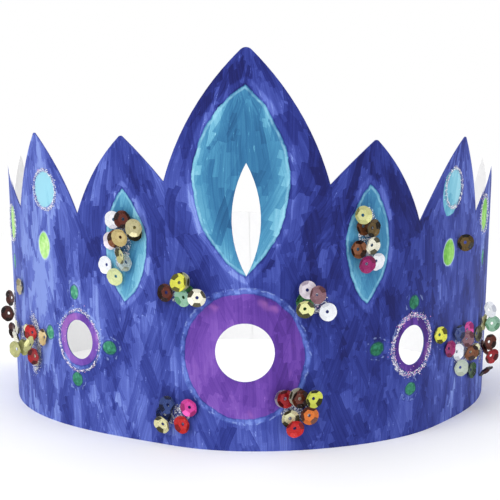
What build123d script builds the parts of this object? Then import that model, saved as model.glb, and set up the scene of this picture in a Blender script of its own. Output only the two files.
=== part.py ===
from build123d import *
import math
import os

os.makedirs("parts", exist_ok=True)

# Ring of card, seen from above: bottom rim, outside
ring_width = 176.3
ring_depth = 197
card_thickness = 0.4
strap_height = 56
flare_angle = 1.65

# Lapped joint at the back: the outer end lies over the inner end
lap_length = 25
lap_ramp = 15

# Centre point, with the leaf slit and the round hole under it
centre_point_height = 129
centre_tip_radius = 2.5
side_tip_radius = 1.2
slit_width = 9
slit_top = 93
slit_bottom = 57
slit_widest = 78
front_hole_diameter = 19.1
front_hole_place = -0.5
front_hole_height = 32.3
side_hole_diameter = 13.4
side_holes = [(-65.3, 30.8), (60.2, 30.7)]

# Glitter glue and sequins
glue_height = 0.5
bead_width = 1.5
dab_edges = 6
sequin_diameter = 6
sequin_floor = 3.4
sequin_depth = 0.9
sequin_thickness = 0.15
sequin_hole = 1.1
sequin_hole_edges = 4
sequin_clearance = 0.1
resting_lean = 4
stacked_lean = 12
hole_ring_diameter = 21.5
circle_ring_diameter = 15

# Shape of the bottom rim as shares of its half width and half depth, from the front centre to the right
rim_shape = [
    (-0.015, -1.0),
    (0.40, -0.91),
    (0.66, -0.72),
    (0.79, -0.535),
    (0.905, -0.33),
    (1.0, 0.04),
    (0.962, 0.445),
    (0.763, 0.735),
    (0.40, 0.93),
    (-0.03, 1.0),
    (-0.46, 0.947),
    (-0.813, 0.729),
    (-0.978, 0.404),
    (-1.0, 0.02),
    (-0.864, -0.433),
    (-0.637, -0.694),
    (-0.32, -0.895),
]

# Side points of the bent card, each as distance along the strip, height, and how far its inner and outer
# flanks bow out
left_points = [(43.8, 100.4, 0.4, 2.0), (87.6, 99.5, 2.6, 1.5), (130, 85.5, 0.8, 1.5), (171, 85.5, 1.5, 2.0)]
right_points = [(42.1, 99.5, 0.4, 2.0), (92.5, 98.1, 2.6, 1.5), (132, 85, 0.8, 1.5), (172, 85, 1.5, 2.0)]
centre_bow = 3.6

# Valleys between the points, from the centre point outwards, as distance along the strip and height
left_valleys = [(27, 86.3), (64, 73.4), (103.2, 72), (151, 66), (190, strap_height)]
right_valleys = [(26.2, 85.7), (61.9, 71.7), (106, 70.5), (152, 65.5), (191, strap_height)]

# Places of the glitter rings round painted circles, and of the loose band of glitter, on its own circle
ring_spots = [(-81.5, 80.5), (83.5, 81), (-117.5, 65), (118, 69)]
band_place = -102.5
band_height = 25
band_radius = 14
band_width = 3
band_rise = 19

# Dabs of glue under the clusters of sequins, as place and height of the middle, width and height
dabs = [
    (-44.5, 66, 8, 20),
    (-21, 50.5, 11, 6),
    (21.5, 48.5, 9, 8),
    (-24, 10.5, 11, 7),
    (17, 13, 11, 9),
    (39.5, 68, 7, 20),
    (100, 24, 24, 12),
    (124, 22, 10, 18),
    (-102, 25, 18, 12),
    (-125, 33, 8, 14),
]

flare = math.tan(math.radians(flare_angle))
rim_arcs = 24

# How far the cutting prisms and profiles run past the card, and a point's outline into its neighbours
reach = 14
skirt_width = 3
skirt_depth = 4
past_card = 3


# Two tangent arcs from one point to the next, starting and ending along the given directions
def arc_pair(start, start_along, end, end_along):
    chord = end - start
    turn = 2 * (1 - start_along.dot(end_along))
    both = chord.dot(start_along + end_along)
    pull = (math.sqrt(both * both + turn * chord.dot(chord)) - both) / turn
    joint = (start + start_along * pull + end - end_along * pull) / 2
    first = TangentArc(start, joint, tangent=start_along)
    return [first, TangentArc(joint, end, tangent=first % 1)]


# Bottom rim of the wall as tangent arcs that follow the rim's shape
def bent_rim():
    guide = Spline([(x * ring_width / 2, y * ring_depth / 2) for x, y in rim_shape], periodic=True)
    spots = [index / (rim_arcs / 2) for index in range(rim_arcs // 2 + 1)]
    arcs = []
    for start, end in zip(spots, spots[1:]):
        arcs += arc_pair(guide @ start, guide % start, guide @ (end % 1), guide % (end % 1))
    return arcs


rim = bent_rim()
rim_length = sum(arc.length for arc in rim)


def outward(along):
    return Vector(along.Y, -along.X)


# Point of the bottom rim and the direction along it, by the length of card from the front centre
def rim_point(place):
    left = place % rim_length
    for arc in rim:
        if left <= arc.length:
            break
        left -= arc.length
    share = min(left / arc.length, 1)
    return arc @ share, arc % share


def beside(place, lift):
    point, along = rim_point(place)
    return point + outward(along) * lift


# The whole rim moved outwards by a lift, and filled
def rim_face(lift):
    moved = []
    for arc in rim:
        moved.append(ThreePointArc(*[arc @ share + outward(arc % share) * lift for share in (0, 0.5, 1)]))
    return make_face(moved)


# Frame on the outer face of the wall: x along the strip, y up the wall, z outwards
def wall_plane(place, height, lift=0):
    point, along = rim_point(place)
    side = outward(along)
    normal = (side - Vector(0, 0, flare)).normalized()
    origin = point + side * flare * height + Vector(0, 0, height) + normal * lift
    return Plane(origin=origin, x_dir=along, z_dir=normal)


# Solid that stands on a face and widens upwards with the flare of the wall
def flared(face):
    return extrude(face, amount=centre_point_height + centre_tip_radius, taper=-flare_angle)


def wall_prism(profile, plane):
    return extrude(plane * profile, amount=reach, both=True)


# Arc from the foot of a flank to the peak, bowed outwards by the given amount
def flank(foot, peak, bow):
    chord = peak - foot
    side = Vector(-chord.Y, chord.X).normalized()
    if foot.X > peak.X:
        side = side * -1
    return ThreePointArc(foot, (foot + peak) / 2 + side * bow, peak)


# Flat outline of one point: two bowed flanks with a rounded tip, on a skirt that runs down into the strap
def point_outline(peak, left, right, bottom, bows, tip_radius):
    skirt = Polyline(
        left,
        (left.X - skirt_width, left.Y),
        (left.X - skirt_width, bottom),
        (right.X + skirt_width, bottom),
        (right.X + skirt_width, right.Y),
        right,
    )
    face = make_face([skirt, flank(left, peak, bows[0]), flank(right, peak, bows[1])])
    sharp_tip = face.vertices().sort_by(Axis.Y)[-1]
    return fillet(sharp_tip, tip_radius)


# Prism that cuts one point of the crown from the wall, with its rounded tip ending at the tip's height
def point_prism(tip, left, right, bows, tip_radius):
    plane = wall_plane(tip[0], 0)

    def flat(place, height):
        local = plane.to_local_coords(wall_plane(place, height).origin)
        return Vector(local.X, local.Y)

    top = flat(*tip)
    bottom = flat(tip[0], strap_height - skirt_depth).Y
    ends = (flat(*left), flat(*right), bottom, bows, tip_radius)
    rounded_off = top.Y - point_outline(top, *ends).bounding_box().max.Y
    return wall_prism(point_outline(top + Vector(0, rounded_off), *ends), plane)


def on_left(spot):
    return -spot[0], spot[1]


# Everything that the die leaves standing above the strap
def points_of_crown():
    feet = on_left(left_valleys[0]), right_valleys[0]
    bows = centre_bow, centre_bow
    prisms = [point_prism((0, centre_point_height), *feet, bows, centre_tip_radius)]
    rights = zip(right_points, right_valleys, right_valleys[1:])
    for (place, height, inner_bow, outer_bow), inner, outer in rights:
        prisms.append(point_prism((place, height), inner, outer, (inner_bow, outer_bow), side_tip_radius))
    lefts = zip(left_points, left_valleys, left_valleys[1:])
    for (place, height, inner_bow, outer_bow), inner, outer in lefts:
        feet = on_left(outer), on_left(inner)
        prisms.append(point_prism((-place, height), *feet, (outer_bow, inner_bow), side_tip_radius))
    return prisms


# The outer end of the strip rises over the inner one along its ramp, and both keep their thickness
def lapped_wall():
    middle = rim_length / 2
    ramp = middle - lap_ramp
    over = middle + lap_length
    raised = Polyline(
        beside(ramp, 0),
        beside(middle, card_thickness),
        beside(middle, past_card),
        beside(over, past_card),
        beside(over, -past_card),
        beside(ramp, -past_card),
        close=True,
    )
    sunk = Polyline(
        beside(ramp, -card_thickness),
        beside(middle, 0),
        beside(middle, -past_card),
        beside(ramp, -past_card),
        close=True,
    )
    outside = rim_face(0) + (rim_face(card_thickness) & make_face(raised))
    inside = rim_face(-card_thickness) + make_face(sunk)
    return flared(outside) - flared(inside)


def round_hole(place, height, diameter):
    return wall_prism(Circle(diameter / 2), wall_plane(place, height))


# Leaf-shaped slit: two arcs that meet in a point at the top and the bottom
def leaf_slit():
    plane = wall_plane(0, slit_widest)
    top = (0, slit_top - slit_widest)
    bottom = (0, slit_bottom - slit_widest)
    sides = [ThreePointArc(bottom, (side * slit_width / 2, 0), top) for side in (-1, 1)]
    return wall_prism(make_face(sides), plane)


def crown_card():
    strap = Pos(0, 0, strap_height / 2) * Box(2 * ring_width, 2 * ring_depth, strap_height)
    card = lapped_wall() & strap.fuse(*points_of_crown())
    card -= round_hole(front_hole_place, front_hole_height, front_hole_diameter)
    for place, height in side_holes:
        card -= round_hole(place, height, side_hole_diameter)
    return card - leaf_slit()


# Skin of dried glue on the outside of the wall, cut to outlines given as place, height and sketch
def glue_on_wall(outlines):
    skin = flared(rim_face(glue_height)) - flared(rim_face(0))
    return [skin & wall_prism(sketch, wall_plane(place, height)) for place, height, sketch in outlines]


def glue_ring(place, height, diameter):
    return place, height, Circle(diameter / 2) - Circle(diameter / 2 - bead_width)


def hole_rings():
    return glue_on_wall([glue_ring(place, height, hole_ring_diameter) for place, height in side_holes])


def circle_rings():
    return glue_on_wall([glue_ring(place, height, circle_ring_diameter) for place, height in ring_spots])


# Upright bow of glitter beside the left heap
def loose_band():
    whole = Circle(band_radius) - Circle(band_radius - band_width)
    bow = whole & Pos(band_radius, 0) * Rectangle(band_radius, band_rise)
    return glue_on_wall([(band_place, band_height, bow)])


# Dried dabs with a blunt oval outline of a few straight edges
def glue_dabs():
    outlines = []
    for place, height, width, tall in dabs:
        turns = [2 * math.pi * (step + 0.5) / dab_edges for step in range(dab_edges)]
        corners = [(width / 2 * math.cos(turn), tall / 2 * math.sin(turn)) for turn in turns]
        outlines.append((place, height, make_face(Polyline(*corners, close=True))))
    return glue_on_wall(outlines)


# How far a facet of the cup runs outwards for each millimetre that it rises
facet_run = (sequin_diameter - sequin_floor) / 2 / sequin_depth
facets = 6


# What is left of a round disc inside six facets that lean outwards from a floor at the given height
def within_facets(disc, floor_height):
    for step in range(facets):
        turn = 2 * math.pi * (step + 0.5) / facets
        out = Vector(math.cos(turn), math.sin(turn))
        edge = out * (sequin_floor / 2) + Vector(0, 0, floor_height)
        facet = Plane(origin=edge, z_dir=Vector(0, 0, facet_run) - out)
        disc = split(disc, bisect_by=facet, keep=Keep.TOP)
    return disc


# Cup with a flat six-sided floor, six facets up to a round rim, and a hole in the middle
def cup():
    disc = extrude(RegularPolygon(sequin_diameter / 2, 2 * facets), amount=1.5 * sequin_depth)
    wider = extrude(RegularPolygon(sequin_diameter, facets), amount=2 * sequin_depth)
    hollow = within_facets(Pos(0, 0, sequin_thickness) * wider, sequin_thickness)
    punch = RegularPolygon(sequin_hole / 2, sequin_hole_edges)
    return within_facets(disc, 0) - hollow - extrude(punch, amount=2 * sequin_thickness, both=True)


# Height of the cup's underside above its floor, at a point of the cup's own plane
def underside(x, y):
    turns = [2 * math.pi * (step + 0.5) / facets for step in range(facets)]
    outwards = max(x * math.cos(turn) + y * math.sin(turn) for turn in turns)
    return max(0, outwards - sequin_floor / 2) / facet_run


# A sequin on the wall, which leans down towards a direction and is carried at a lift above the wall
class Sequin:
    def __init__(self, place, height, lean, direction):
        self.place = place
        self.height = height
        self.lean = math.radians(lean)
        self.direction = math.radians(direction)
        self.lift = 0
        before, after = [rim_point(place + side * sequin_diameter / 2)[1] for side in (-1, 1)]
        self.wall_bend = before.cross(after).Z / sequin_diameter

    # How far the bent wall falls away from a flat sequin beside its middle
    def fall(self, east):
        return self.wall_bend * east * east / 2

    # Place and height of a point of the cup's underside, and its height above the wall
    def underside_at(self, x, y):
        rise = underside(x, y)
        along = x * math.cos(self.lean) + rise * math.sin(self.lean)
        east = along * math.cos(self.direction) - y * math.sin(self.direction)
        north = along * math.sin(self.direction) + y * math.cos(self.direction)
        above = rise * math.cos(self.lean) - x * math.sin(self.lean) + self.fall(east)
        return self.place + east, self.height + north, above

    # Height of the cup's top side above the wall at a place and height, or None beside the cup
    def top_at(self, place, height):
        east = place - self.place
        north = height - self.height
        along = east * math.cos(self.direction) + north * math.sin(self.direction)
        y = north * math.cos(self.direction) - east * math.sin(self.direction)
        x = along / math.cos(self.lean)
        for refine in range(3):
            x = (along - underside(x, y) * math.sin(self.lean)) / math.cos(self.lean)
        if math.hypot(x, y) > sequin_diameter / 2 + sequin_clearance:
            return None
        wall_through = sequin_thickness * math.hypot(1, 1 / facet_run)
        rise = underside(x, y) + wall_through
        return self.lift + rise * math.cos(self.lean) - x * math.sin(self.lean) + self.fall(east)

    # Let the sequin down until it lies on the card, the glue or a sequin that was there before
    def settle(self, earlier):
        steps = 6
        for step in range(steps * 24):
            radius = sequin_diameter / 2 * (step % steps + 1) / steps
            turn = 2 * math.pi * (step // steps) / 24
            place, height, above = self.underside_at(radius * math.cos(turn), radius * math.sin(turn))
            tops = [other.top_at(place, height) for other in earlier]
            ground = max([ground_at(place, height)] + [top for top in tops if top is not None])
            self.lift = max(self.lift, ground - above)
        self.lift += sequin_clearance

    def solid(self, pattern):
        wall = wall_plane(self.place, self.height, self.lift)
        downhill = wall.x_dir * math.cos(self.direction) + wall.y_dir * math.sin(self.direction)
        x_dir = downhill * math.cos(self.lean) - wall.z_dir * math.sin(self.lean)
        z_dir = wall.z_dir * math.cos(self.lean) + downhill * math.sin(self.lean)
        return Plane(origin=wall.origin, x_dir=x_dir, z_dir=z_dir).location * pattern


# Height of the dried glue above the card at a place and height
def ground_at(place, height):
    for dab_place, dab_height, width, tall in dabs:
        inside = abs(place - dab_place) < width / 2 and abs(height - dab_height) < tall / 2
        if inside:
            return glue_height
    off_band = math.hypot(place - band_place, height - band_height) - band_radius + band_width / 2
    return glue_height if abs(off_band) < band_width / 2 else 0


# Sequins as colour, place and height, in the order in which they were dropped on the glue.
# The last two numbers, where given, are the lean of a sequin that stands up in its heap, and its direction.
clusters = {
    "left_leaf": [
        ("pearl", -46.9, 73),
        ("garnet", -42.4, 73.5),
        ("dark_gold", -38.1, 69.6),
        ("khaki", -37.2, 71.2),
        ("blush", -48.1, 66),
        ("brown", -44.9, 67),
        ("tan", -42.5, 67.8),
        ("clear", -42.1, 59.4),
        ("olive_gold", -42.3, 62, 28, 200),
        ("white", -50.8, 57.7),
        ("pale_green", -46.6, 54.3),
    ],
    "upper_left": [
        ("green", -18.5, 51),
        ("sea_green", -19.1, 50),
        ("cream", -14.3, 50.4),
        ("garnet", -26.2, 50.7),
        ("silver", -18.8, 55.2),
        ("yellow", -19.4, 55),
    ],
    "upper_right": [
        ("green", 17.9, 48.9),
        ("white", 25.5, 45.2),
        ("blush", 18.6, 52.7),
        ("mauve", 21.2, 51.4),
        ("pale_yellow", 17.8, 46.8),
    ],
    "lower_left": [
        ("navy", -27.9, 10.4),
        ("blue", -26, 13.9),
        ("pink", -18.5, 13.8),
        ("pale_gold", -27.9, 7.4),
        ("red", -21, 7.9),
    ],
    "lower_right": [
        ("lilac", 11.6, 17.6),
        ("rose", 12, 17.7),
        ("cream", 15.5, 18.4),
        ("garnet", 16.3, 17.9),
        ("lime", 20.5, 17.8),
        ("ivory", 13.8, 10.9),
        ("orange", 20, 11.6),
        ("red", 15.1, 7.9),
    ],
    "right_leaf": [
        ("brown", 37.3, 72.2),
        ("black", 39.9, 71.6),
        ("olive", 36.3, 75.9),
        ("brown", 35.6, 64.8),
        ("cream", 40.1, 66),
        ("white", 42.2, 60.6),
        ("magenta", 37.9, 60.2),
    ],
    "left_side": [
        ("beige", -106.1, 43.8),
        ("gold", -85.4, 28.8),
    ],
    "right_side": [
        ("black", 90.9, 62, 50, 180),
        ("yellow", 75.5, 32, 20, 180),
    ],
    "left_heap": [
        ("pale", -97.2, 28.9),
        ("red", -92.9, 29.4, 20, 0),
        ("pale", -91, 20.8),
        ("red", -89.2, 21.8, 15, 0),
        ("olive", -100.7, 22.9, 20, 0),
        ("olive", -103.5, 21.9, 25, 0),
        ("olive", -90.9, 25.5, 30, 90),
        ("pale", -111.7, 28.2),
        ("pale", -110.2, 24.4),
        ("dark", -122.5, 37.2, 25, 0),
        ("dark", -124.5, 31.2, 50, 0),
        ("dark", -122.5, 25.2, 20, 0),
    ],
    "right_heap": [
        ("pale", 89.9, 23.8, 15, 180),
        ("blue", 90.6, 30.3, 15, 180),
        ("red", 84, 25.8, 12, 180),
        ("red", 98.9, 30.2, 15, 180),
        ("dark", 96.9, 27.4, 22, 180),
        ("pale", 107.1, 21.2, 15, 180),
        ("dark", 101.3, 21.8, 35, 200),
        ("pale", 92.6, 17.8, 32, 180),
        ("green", 110.7, 26.8, 10, 180),
        ("green", 106.7, 14.2, 10, 180),
        ("pale", 119.8, 29.4, 10, 200),
        ("green", 123.5, 28.5, 55, 180),
        ("pale", 122.5, 33.5, 40, 150),
        ("red", 120.5, 19.5, 25, 90),
        ("dark", 124, 21.5, 40, 180),
        ("red", 125, 16.3, 45, 200),
        ("dark", 124.5, 11, 50, 250),
    ],
}


# Lean of a sequin dropped flat: a little any way on the glue, or down and away from those under it
def resting(index, place, height, earlier):
    under = []
    for other in earlier:
        if math.hypot(place - other.place, height - other.height) < sequin_diameter:
            under.append(other)
    any_way = 137 * index
    if not under:
        return resting_lean, any_way
    east = place - sum(other.place for other in under) / len(under)
    north = height - sum(other.height for other in under) / len(under)
    return stacked_lean, math.degrees(math.atan2(north, east))


# Sequins of one cluster, let down one after another; those of one colour share a node
def cluster_nodes(name, entries):
    pattern = cup()
    settled = []
    nodes = {}
    for index, (colour, place, height, *tipped) in enumerate(entries):
        lean, direction = tipped or resting(index, place, height, settled)
        sequin = Sequin(place, height, lean, direction)
        sequin.settle(settled)
        settled.append(sequin)
        nodes.setdefault("sequin_" + name + "_" + colour, []).append(sequin.solid(pattern))
    return nodes


def build():
    nodes = {
        "crown_card": [crown_card()],
        "glitter_hole_rings": hole_rings(),
        "glitter_circle_rings": circle_rings(),
        "glitter_band": loose_band(),
        "glue_dabs": glue_dabs(),
    }
    for name, entries in clusters.items():
        nodes.update(cluster_nodes(name, entries))
    return nodes


# The origin is the middle of the whole crown's footprint, on the surface it stands on
nodes = build()
box = Compound([solid for solids in nodes.values() for solid in solids]).bounding_box()
shift = Pos(-box.center().X, -box.center().Y, -box.min.Z)
for name, solids in nodes.items():
    export_step(shift * Compound(solids), "parts/" + name + ".step")
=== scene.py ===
import math
import bpy
import numpy as np
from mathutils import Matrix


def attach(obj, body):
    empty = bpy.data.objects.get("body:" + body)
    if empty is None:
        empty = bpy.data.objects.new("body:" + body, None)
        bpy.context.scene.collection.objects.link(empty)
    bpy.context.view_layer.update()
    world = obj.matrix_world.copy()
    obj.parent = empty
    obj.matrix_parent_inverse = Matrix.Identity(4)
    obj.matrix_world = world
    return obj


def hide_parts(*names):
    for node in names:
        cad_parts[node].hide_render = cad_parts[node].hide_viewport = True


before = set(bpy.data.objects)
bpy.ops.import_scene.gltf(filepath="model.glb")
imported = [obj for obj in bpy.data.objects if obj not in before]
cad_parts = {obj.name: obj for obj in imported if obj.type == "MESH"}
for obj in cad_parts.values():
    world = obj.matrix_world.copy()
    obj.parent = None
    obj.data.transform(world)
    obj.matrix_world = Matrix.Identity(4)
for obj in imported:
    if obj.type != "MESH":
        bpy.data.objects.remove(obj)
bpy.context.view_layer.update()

mm = 0.001
print("frame loaded:", len(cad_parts), "nodes")

scene = bpy.context.scene
scene.view_settings.view_transform = "Standard"

# a long lens that looks a little down at the front of the crown; mm, metres and degrees
cameraSettings = dict(lens=119.2, sensor=36.0, aim=(0.000237, -0.003059, 0.0528), distance=0.6182, pitch=7.52)


def makeCamera(s):
    # the camera stands back from the aim along its line of sight, by the distance
    pitch = math.radians(s["pitch"])
    data = bpy.data.cameras.new("crownCamera")
    data.lens = s["lens"]
    data.sensor_width = s["sensor"]
    camera = bpy.data.objects.new("crownCamera", data)
    scene.collection.objects.link(camera)
    ahead = np.array([0.0, math.cos(pitch), -math.sin(pitch)])
    camera.location = np.array(s["aim"]) - s["distance"] * ahead
    camera.rotation_euler = (math.pi / 2 - pitch, 0.0, 0.0)
    scene.camera = camera


makeCamera(cameraSettings)


class Wire:
    # one output of a shader node; plus, minus, times and over add their own Math nodes
    def __init__(self, paint, socket):
        self.paint = paint
        self.socket = socket

    def math(self, operation, first, second=0.0):
        return self.paint.node("ShaderNodeMath", dict(operation=operation), {0: first, 1: second})

    def __add__(self, other):
        return self.math("ADD", self, other)

    def __mul__(self, other):
        return self.math("MULTIPLY", self, other)

    def __sub__(self, other):
        return self.math("SUBTRACT", self, other)

    def __rsub__(self, other):
        return self.math("SUBTRACT", other, self)

    def __truediv__(self, other):
        return self.math("DIVIDE", self, other)

    def __rtruediv__(self, other):
        return self.math("DIVIDE", other, self)

    __radd__ = __add__
    __rmul__ = __mul__

    def least(self, other):
        return self.math("MINIMUM", self, other)

    def most(self, other):
        return self.math("MAXIMUM", self, other)

    def size(self):
        return self.math("ABSOLUTE", self)

    def floor(self):
        return self.math("FLOOR", self)


class Paint:
    # the node tree of one material
    def __init__(self, name):
        self.material = bpy.data.materials.new(name)
        self.material.use_nodes = True
        self.tree = self.material.node_tree
        self.shader = self.tree.nodes["Principled BSDF"]

    # a node of any type: its settings first, then the values or links of its sockets
    def node(self, kind, settings=None, inputs=None, output=0):
        made = self.tree.nodes.new(kind)
        for name, value in (settings or {}).items():
            if name == "stops":
                self.fillRamp(made.color_ramp, value)
            else:
                setattr(made, name, value)
        for name, value in (inputs or {}).items():
            self.feed(made.inputs[name], value)
        return Wire(self, made.outputs[output])

    def fillRamp(self, ramp, stops):
        while len(ramp.elements) < len(stops):
            ramp.elements.new(0.5)
        for element, (position, colour) in zip(ramp.elements, stops):
            element.position = position
            element.color = colour if len(colour) == 4 else (*colour, 1.0)

    def feed(self, socket, value):
        if isinstance(value, Wire):
            self.tree.links.new(value.socket, socket)
        else:
            socket.default_value = value

    # fixed values and links of the finished shader
    def finish(self, sockets):
        for name, value in sockets.items():
            self.feed(self.shader.inputs[name], value)
        return self.material

    # 0 at low, 1 at high, smooth between; low may be the larger one
    def rise(self, value, low, high):
        settings = dict(interpolation_type="SMOOTHSTEP")
        return self.node("ShaderNodeMapRange", settings, {"Value": value, "From Min": low, "From Max": high})

    # 0 before start, 1 from full to fading, 0 after end
    def band(self, value, start, full, fading, end):
        return self.rise(value, start, full) * self.rise(value, end, fading)

    def blend(self, share, first, second, way="MIX"):
        settings = dict(data_type="RGBA", blend_type=way)
        return self.node("ShaderNodeMix", settings, {0: share, 6: first, 7: second}, output=2)

    def ramp(self, value, stops, way="LINEAR"):
        made = self.node("ShaderNodeValToRGB", dict(stops=stops), {"Fac": value})
        made.socket.node.color_ramp.interpolation = way
        return made

    def point(self, x, y, z=0.0):
        return self.node("ShaderNodeCombineXYZ", None, {0: x, 1: y, 2: z})

    def parts(self, vector):
        split = self.tree.nodes.new("ShaderNodeSeparateXYZ")
        self.feed(split.inputs[0], vector)
        return [Wire(self, out) for out in split.outputs]

    def reach(self, vector):
        return self.node("ShaderNodeVectorMath", dict(operation="LENGTH"), {0: vector}, "Value")

    # place along the strip and height above the rim, in mm
    def wallPlace(self):
        return self.parts(self.node("ShaderNodeUVMap", dict(uv_map="wallPlace")))[:2]

    def place(self):
        return self.node("ShaderNodeTexCoord", None, None, "Object")

    def faceValue(self, name):
        return self.node("ShaderNodeAttribute", dict(attribute_name=name), None, "Fac")

    def noise(self, vector, scale, detail=2.0, output="Fac"):
        return self.node("ShaderNodeTexNoise", None, {"Vector": vector, "Scale": scale, "Detail": detail}, output)

    # a random number for each cell
    def cells(self, vector, scale, dimensions="3D", metric="EUCLIDEAN"):
        settings = dict(voronoi_dimensions=dimensions, distance=metric)
        return self.parts(self.node("ShaderNodeTexVoronoi", settings, {"Vector": vector, "Scale": scale}, "Color"))[0]

    def bump(self, height, distance, strength):
        return self.node("ShaderNodeBump", None, {"Height": height, "Distance": distance, "Strength": strength})


# the bent wall is read from the card of the frame: lean in degrees, and the front centre's place in x
wallSettings = dict(
    flare=1.65, frontCentre=-0.000883,
    level=0.3, outward=0.02,             # a face of the outside looks less up than this, and more outwards than this
    onRim=1e-6, apart=0.0003,            # height of the rim's corners, and the least way between two of them
)


def mergedNode(name):
    # corners of a node's loose triangles become one vertex where their places, rounded to 0.1 micrometre, agree
    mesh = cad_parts[name].data
    corners = np.zeros(len(mesh.vertices) * 3)
    mesh.vertices.foreach_get("co", corners)
    mesh.calc_loop_triangles()
    triangles = np.zeros(len(mesh.loop_triangles) * 3, dtype=int)
    mesh.loop_triangles.foreach_get("vertices", triangles)
    rounded = np.round(corners.reshape(-1, 3) * 1e7).astype(np.int64)
    places, home = np.unique(rounded, axis=0, return_inverse=True)
    triangles = home.reshape(-1)[triangles].reshape(-1, 3)
    a, b, c = triangles.T
    return places * 1e-7, triangles[(a != b) & (b != c) & (a != c)]


def faceNormals(places, triangles):
    a, b, c = (places[triangles[:, k]] for k in range(3))
    normals = np.cross(b - a, c - a)
    return normals / np.maximum(np.linalg.norm(normals, axis=1, keepdims=True), 1e-20)


class Wall:
    # the outer line of the bottom rim: length along it, from the front centre to the right
    def __init__(self, places, triangles, s):
        self.flare = math.tan(math.radians(s["flare"]))
        normals = faceNormals(places, triangles)
        middles = places[triangles].mean(axis=1)
        away = (normals * middles)[:, :2].sum(axis=1)
        outer = (np.abs(normals[:, 2]) < s["level"]) & (away > s["outward"])
        used = places[np.unique(triangles[outer])]
        rim = used[used[:, 2] < s["onRim"]][:, :2]
        rim = rim[np.argsort(np.arctan2(rim[:, 0], -rim[:, 1]))]
        rim = rim[np.linalg.norm(rim - np.roll(rim, 1, axis=0), axis=1) > s["apart"]]
        self.rim = np.vstack([rim, rim[:1]])
        steps = np.linalg.norm(np.diff(self.rim, axis=0), axis=1)
        self.along = np.concatenate([[0.0], np.cumsum(steps)])
        self.length = self.along[-1]
        x, y = self.rim.T
        centre = s["frontCentre"]
        front = np.where((y[:-1] < 0) & (x[:-1] <= centre) & (x[1:] > centre))[0][0]
        self.zero = self.along[front] + (centre - x[front]) / (x[front + 1] - x[front]) * steps[front]
        chords = np.diff(self.rim, axis=0) / steps[:, None]
        turned = chords + np.roll(chords, 1, axis=0)
        turned /= np.linalg.norm(turned, axis=1, keepdims=True)
        self.turned = np.vstack([turned, turned[:1]])    # direction of the rim at each of its points

    # length along the rim, wrapped about the back, of the rim point nearest to each place
    def placeOf(self, places):
        run = np.diff(self.rim, axis=0)
        size = (run * run).sum(axis=1)
        off = places[:, None, :2] - self.rim[:-1][None]
        share = np.clip((off * run[None]).sum(axis=2) / size[None], 0, 1)
        gap = np.linalg.norm(off - share[..., None] * run[None], axis=2)
        best = gap.argmin(axis=1)
        rows = np.arange(len(places))
        length = self.along[best] + share[rows, best] * np.sqrt(size[best]) - self.zero
        return (length + self.length / 2) % self.length - self.length / 2

    # rim point and its direction: a Hermite curve through the rim's points
    def rimAt(self, place):
        length = (np.asarray(place) + self.zero) % self.length
        index = np.clip(np.searchsorted(self.along, length, side="right") - 1, 0, len(self.rim) - 2)
        step = self.along[index + 1] - self.along[index]
        t = ((length - self.along[index]) / step)[..., None]
        step = step[..., None]
        p, q = self.rim[index], self.rim[index + 1]
        a, b = self.turned[index] * step, self.turned[index + 1] * step
        point = (2 * t**3 - 3 * t**2 + 1) * p + (t**3 - 2 * t**2 + t) * a
        point = point + (3 * t**2 - 2 * t**3) * q + (t**3 - t**2) * b
        way = self.turned[index] * (1 - t) + self.turned[index + 1] * t
        return point, way / np.linalg.norm(way, axis=-1, keepdims=True)

    # outward normal of the leaning wall
    def normalAt(self, place):
        way = self.rimAt(place)[1]
        out = np.stack([way[..., 1], -way[..., 0], np.full(way.shape[:-1], -self.flare)], axis=-1)
        return out / np.linalg.norm(out, axis=-1, keepdims=True)

    # point of the outside: the rim moved outwards by the lean times the height, and by the lift
    def point(self, place, height, lift=0.0):
        place, height, lift = np.broadcast_arrays(place, height, lift)
        rim, way = self.rimAt(place)
        out = np.stack([way[..., 1], -way[..., 0]], axis=-1)
        flat = rim + out * (height * self.flare)[..., None]
        return np.concatenate([flat, height[..., None]], axis=-1) + self.normalAt(place) * lift[..., None]


cardPlaces, cardTriangles = mergedNode("crown_card")
wall = Wall(cardPlaces, cardTriangles, wallSettings)
print("wall read: rim", round(wall.length * 1000, 1), "mm, points", len(wall.rim))


def newPiece(name, places, faces, materials, slot, node, smooth, faceMaterial):
    # a mesh from whole arrays; all its faces have the same number of corners
    mesh = bpy.data.meshes.new(name)
    mesh.vertices.add(len(places))
    mesh.vertices.foreach_set("co", places.ravel())
    mesh.loops.add(faces.size)
    mesh.loops.foreach_set("vertex_index", faces.ravel().astype(np.int32))
    mesh.polygons.add(len(faces))
    mesh.polygons.foreach_set("loop_start", np.arange(0, faces.size, faces.shape[1], dtype=np.int32))
    mesh.update(calc_edges=True)
    for material in materials:
        mesh.materials.append(material)
    mesh.polygons.foreach_set("material_index", faceMaterial.astype(np.int32))
    mesh.polygons.foreach_set("use_smooth", np.full(len(faces), smooth))
    mesh.validate()
    piece = bpy.data.objects.new(name, mesh)
    scene.collection.objects.link(piece)
    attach(piece, "root")
    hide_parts(node)
    return piece


def giveFaces(piece, name, values):
    layer = piece.data.attributes.new(name, "FLOAT", "FACE")
    layer.data.foreach_set("value", values.astype(np.float32))


def gridFaces(rows, columns, closedRows=False, closedColumns=False):
    # quads of a grid whose points are numbered row by row; a closed way joins its last line to its first
    r = np.arange(rows if closedRows else rows - 1)
    c = np.arange(columns if closedColumns else columns - 1)
    r, c = (a.ravel() for a in np.meshgrid(r, c, indexing="ij"))
    here, below, right = r * columns, (r + 1) % rows * columns, (c + 1) % columns
    return np.stack([here + c, here + right, below + right, below + c], axis=1)


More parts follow.
